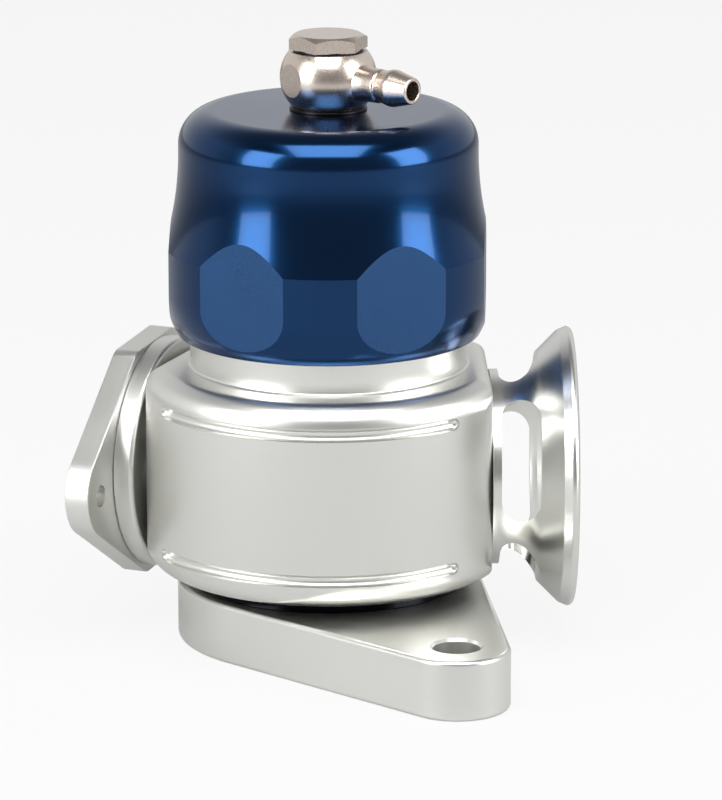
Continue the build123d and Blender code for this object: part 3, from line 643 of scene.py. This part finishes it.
class VALVE_OT_fitting(bpy.types.Operator):
    """Banjo ring, barb, hollow bolt and their washers"""

    bl_idname = "valve.fitting"
    bl_label = "Hose fitting"

    def execute(self, context):
        finishes = context.scene.valve_finishes
        # Plated brass: warm, smooth and bright, and its ball mirrors what stands round it.
        nickel = plain_metal("nickel plate", finishes.nickel, 0.27, grain_mm=0.8, depth=0.0006,
                             variation=0.1)
        ball = as_object(self.ball(), "banjo_ball")
        bore_radius, below, above = 4.6, 90, 130
        bore = lathe([(0, below), (bore_radius, below), (bore_radius, above), (0, above)],
                     closed=False, steps=64)
        carve(ball, as_object(bore, "bore"))
        dress(ball, "fitting", ["banjo_ring"], nickel)
        passage, tube, barb_radius, root, reach = 1.8, 3.2, 3.5, 5.6, 20.4
        barb = lathe([
            (passage, root), (4.0, root), (tube, 9.6, 1.6), (tube, 12.8, 0.2), (2.95, 13.2, 0.15),
            (3.0, 13.5, 0.15), (barb_radius, 15.6, 0.4), (barb_radius, 16.2, 0.3),
            (2.45, reach, 0.25), (passage, reach, 0.15)], steps=96, segments=6)
        barb_piece = as_object(along_port(barb, BARB_ANGLE, BARB_HEIGHT), "barb_tube")
        dress(barb_piece, "fitting", ["hose_barb"], nickel, crease=20.0)
        under_head, head_top = BANJO_TOP + 0.4, BANJO_TOP + 3.2
        head_corner, first_corner = 7.506, 10
        corner_angles = [radians(first_corner + 60 * i) for i in range(6)]
        head = plate([(head_corner * cos(angle), head_corner * sin(angle))
                      for angle in corner_angles], under_head, head_top)
        bolt = as_object(head, "bolt_head")
        dome = lathe([(0, under_head), (7.6, under_head), (7.6, BANJO_TOP + 2.3), (6.1, head_top),
                      (0, head_top)], closed=False, steps=96)
        carve(bolt, as_object(dome, "dome"), "INTERSECT")
        hollow, shank_end, shank_top = 1.5, 96.0, BANJO_TOP + 1.0
        shank = lathe([(hollow, shank_end), (BOLT_HOLE_RADIUS, shank_end),
                       (BOLT_HOLE_RADIUS, shank_top), (hollow, shank_top)], steps=64)
        carve(bolt, as_object(shank, "shank"), "UNION")
        dress(bolt, "top", ["banjo_bolt"], nickel)
        # Bonded steel washers: dull, and painted near black as painted shade in the joints between
        # the bright pieces, under the banjo and under the bolt head.
        washer = plain_metal("dull sealing washer with painted joint shade", finishes.washer, 0.35, grain_mm=0.4,
                             depth=0.004)
        washer_hole = 4.3
        for name, node, body, bottom, outer in (
                ("lower_washer", "banjo_lower_washer", "top", BANJO_BOTTOM - WASHER_THICKNESS, 7.3),
                ("upper_washer", "banjo_upper_washer", "fitting", BANJO_TOP, 6.6)):
            bm = lathe([(washer_hole, bottom), (outer, bottom, 0.12),
                        (outer, bottom + WASHER_THICKNESS, 0.12),
                        (washer_hole, bottom + WASHER_THICKNESS)], steps=96)
            dress(as_object(bm, name), body, [node], washer)
        return {"FINISHED"}

    def ball(self, foot=6.7, wide=9.1, brow=7.3, height=BANJO_HEIGHT):
        """Ball-sided ring from one circular arc, with two milled round flats."""
        half = height / 2
        a = wide ** 2 - foot ** 2 - half ** 2
        b = wide ** 2 - brow ** 2 - half ** 2
        det = 4 * ((wide - foot) * -half - (wide - brow) * half)
        centre = ((a * -half - b * half) * 2 / det,
                  2 * ((wide - foot) * b - (wide - brow) * a) / det)
        bm = bmesh.new()
        start = Vector((foot - centre[0], 0, -half - centre[1]))
        end = Vector((brow - centre[0], 0, half - centre[1]))
        first = bm.verts.new((foot * MM, 0, (BARB_HEIGHT - half) * MM))
        made = bmesh.ops.spin(bm, geom=[first], axis=(0, 1, 0), angle=-start.angle(end), steps=24,
                              cent=(centre[0] * MM, 0, (BARB_HEIGHT + centre[1]) * MM))
        last = verts_of(made["geom_last"])[0]
        bore_low = bm.verts.new((0, 0, first.co.z))
        bore_high = bm.verts.new((0, 0, last.co.z))
        bm.edges.new((bore_low, first))
        bm.edges.new((last, bore_high))
        bmesh.ops.spin(bm, geom=bm.verts[:] + bm.edges[:], cent=(0, 0, 0), axis=(0, 0, 1),
                       angle=2 * pi, steps=128, use_merge=True)
        bmesh.ops.remove_doubles(bm, verts=bm.verts[:], dist=0.0005 * MM)
        bmesh.ops.recalc_face_normals(bm, faces=bm.faces[:])
        flat_distance, flat_angle = 8.45, 33
        for angle in (flat_angle, flat_angle + 180):
            slice_flat(bm, flat_distance, angle)
        return bm


class VALVE_OT_inside(bpy.types.Operator):
    """Finishes of the pieces inside"""

    bl_idname = "valve.inside"
    bl_label = "Inside pieces"

    def execute(self, context):
        finishes = context.scene.valve_finishes
        # Thick grey oxide on turned aluminium: an even satin grey.
        hard = plain_metal("hard anodised aluminium", finishes.hard, 0.35, grain_mm=0.6)
        # Moulded seals: black, with only a faint sheen.
        rubber = plain_metal("moulded nitrile rubber", finishes.rubber, 0.55, grain_mm=0.3,
                             metallic=0.0)
        # Oiled phosphate on drawn wire: dark grey, half dull.
        steel = plain_metal("phosphated spring steel", finishes.steel, 0.4, grain_mm=0.4)
        # Bronze-filled sliding plastic: dark brown and dull.
        plastic = plain_metal("filled sliding plastic", finishes.plastic, 0.5, grain_mm=0.3,
                              metallic=0.0)
        finish = {
            "piston": hard, "spring_seat": hard, "base_o_ring": rubber, "trumpet_o_ring": rubber,
            "recirc_o_ring": rubber, "piston_seal": rubber, "nose_seal": rubber,
            "cap_o_ring": rubber, "base_retaining_ring": steel, "trumpet_snap_ring": steel,
            "recirc_snap_ring": steel, "main_spring": steel, "piston_guide_ring": plastic,
            "thrust_washer": plastic,
        }
        for node, material in finish.items():
            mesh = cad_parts[node].data
            mesh.materials.clear()
            mesh.materials.append(material)
        return {"FINISHED"}


class VALVE_OT_stage(bpy.types.Operator):
    """Pale floor, studio lamps, white surroundings and the camera"""

    bl_idname = "valve.stage"
    bl_label = "Stage"

    def execute(self, context):
        self.floor()
        self.surroundings(context.scene)
        for lamp in LAMPS:
            self.lamp(*lamp)
        self.camera(context.scene)
        context.scene.view_settings.view_transform = "Standard"
        return {"FINISHED"}

    def floor(self):
        """Wide disc that is near white to the camera and keeps the valve's shadow."""
        bm = bmesh.new()
        bmesh.ops.create_circle(bm, cap_ends=True, radius=4.0, segments=96)
        floor = as_object(bm, "floor")
        material, tree = blank("pale floor")
        diffuse = add(tree, "ShaderNodeBsdfDiffuse", {"Color": linear(FLOOR_COLOUR)})
        glow = add(tree, "ShaderNodeEmission", {"Color": (1, 1, 1, 1), "Strength": 1.0})
        path = add(tree, "ShaderNodeLightPath")
        seen = add(tree, "ShaderNodeMath", {0: path.outputs["Is Camera Ray"],
                                            1: FLOOR_SEEN}, operation="MULTIPLY")
        part = add(tree, "ShaderNodeMath", {0: path.outputs["Is Glossy Ray"],
                                            1: FLOOR_MIRRORED, 2: seen.outputs["Value"]},
                   operation="MULTIPLY_ADD")
        mixed = add(tree, "ShaderNodeMixShader", {"Fac": part.outputs["Value"],
                                                  1: diffuse.outputs["BSDF"],
                                                  2: glow.outputs["Emission"]})
        add(tree, "ShaderNodeOutputMaterial", {"Surface": mixed.outputs["Shader"]})
        floor.data.materials.append(material)

    def surroundings(self, scene):
        """White to the camera; a studio with a dark camera side to the metal."""
        world = bpy.data.worlds.new("studio")
        scene.world = world
        world.use_nodes = True
        tree = world.node_tree
        tree.nodes.clear()
        place = add(tree, "ShaderNodeTexCoord")
        way = add(tree, "ShaderNodeSeparateXYZ", {"Vector": place.outputs["Generated"]})
        back = add(tree, "ShaderNodeMapRange", {"Value": way.outputs["Y"], "From Min": -0.35,
                                                "From Max": 0.25, "To Min": CAMERA_SIDE_LEVEL,
                                                "To Max": FAR_SIDE_LEVEL},
                   interpolation_type="SMOOTHSTEP")
        zenith = add(tree, "ShaderNodeMapRange", {"Value": way.outputs["Z"], "From Min": 0.45,
                                                  "From Max": 0.85, "To Min": 1.0,
                                                  "To Max": ZENITH_LEVEL},
                     interpolation_type="SMOOTHSTEP")
        level = add(tree, "ShaderNodeMath", {0: back.outputs["Result"],
                                             1: zenith.outputs["Result"]}, operation="MULTIPLY")
        path = add(tree, "ShaderNodeLightPath")
        strength = add(tree, "ShaderNodeMix", {"Factor": path.outputs["Is Camera Ray"],
                                               "A": level.outputs["Value"], "B": 1.0},
                       data_type="FLOAT")
        glow = add(tree, "ShaderNodeBackground", {"Color": (1, 1, 1, 1),
                                                  "Strength": strength.outputs["Result"]})
        add(tree, "ShaderNodeOutputWorld", {"Surface": glow.outputs["Background"]})

    def lamp(self, name, azimuth, elevation, distance, width, tall, power):
        """Rectangular softbox that faces the middle of the valve."""
        light = bpy.data.lights.new(name, "AREA")
        light.shape = "RECTANGLE"
        light.size, light.size_y = width, tall
        light.energy = power
        lamp = bpy.data.objects.new(name, light)
        aim = Vector((0, 0, LAMP_AIM_HEIGHT))
        way = Vector((cos(radians(elevation)) * cos(radians(azimuth)),
                      cos(radians(elevation)) * sin(radians(azimuth)), sin(radians(elevation))))
        lamp.location = aim + way * distance
        lamp.rotation_euler = way.to_track_quat("Z", "Y").to_euler()
        bpy.context.scene.collection.objects.link(lamp)

    def camera(self, scene):
        """The photograph's viewing angle, for a frame 722 wide and 800 tall."""
        camera = bpy.data.objects.new("camera", bpy.data.cameras.new("camera"))
        camera.data.sensor_width = CAMERA_SENSOR
        camera.data.lens = CAMERA_LENS
        camera.data.clip_start = 0.05
        camera.location = CAMERA_PLACE
        way = Vector(CAMERA_AIM) - camera.location
        camera.rotation_euler = way.to_track_quat("-Z", "Y").to_euler()
        scene.collection.objects.link(camera)
        scene.camera = camera


class VALVE_PT_panel(bpy.types.Panel):
    """Lists the pieces in the sidebar"""

    bl_idname = "VALVE_PT_panel"
    bl_label = "Blow-off Valve"
    bl_space_type = "VIEW_3D"
    bl_region_type = "UI"
    bl_category = "Valve"

    def draw(self, context):
        for group in (context.scene.valve_sizes, context.scene.valve_finishes):
            for name in group.__annotations__:
                self.layout.prop(group, name)
        for operator in OPERATORS:
            self.layout.operator(operator.bl_idname)


GROUPS = (ValveSizes, ValveFinishes)
OPERATORS = (VALVE_OT_cap, VALVE_OT_body, VALVE_OT_base, VALVE_OT_trumpet, VALVE_OT_recirc,
             VALVE_OT_fitting, VALVE_OT_inside, VALVE_OT_stage)
CLASSES = GROUPS + OPERATORS + (VALVE_PT_panel,)


def register():
    """Registers the classes and hangs the sizes and finishes on the scene."""
    for cls in CLASSES:
        bpy.utils.register_class(cls)
    bpy.types.Scene.valve_sizes = PointerProperty(type=ValveSizes)
    bpy.types.Scene.valve_finishes = PointerProperty(type=ValveFinishes)


def unregister():
    del bpy.types.Scene.valve_finishes
    del bpy.types.Scene.valve_sizes
    for cls in reversed(CLASSES):
        bpy.utils.unregister_class(cls)


def main():
    """Registers the classes, then builds every piece and the stage."""
    register()
    bpy.ops.valve.cap()
    bpy.ops.valve.body()
    bpy.ops.valve.base()
    bpy.ops.valve.trumpet()
    bpy.ops.valve.recirc()
    bpy.ops.valve.fitting()
    bpy.ops.valve.inside()
    bpy.ops.valve.stage()


if __name__ == "__main__":
    main()
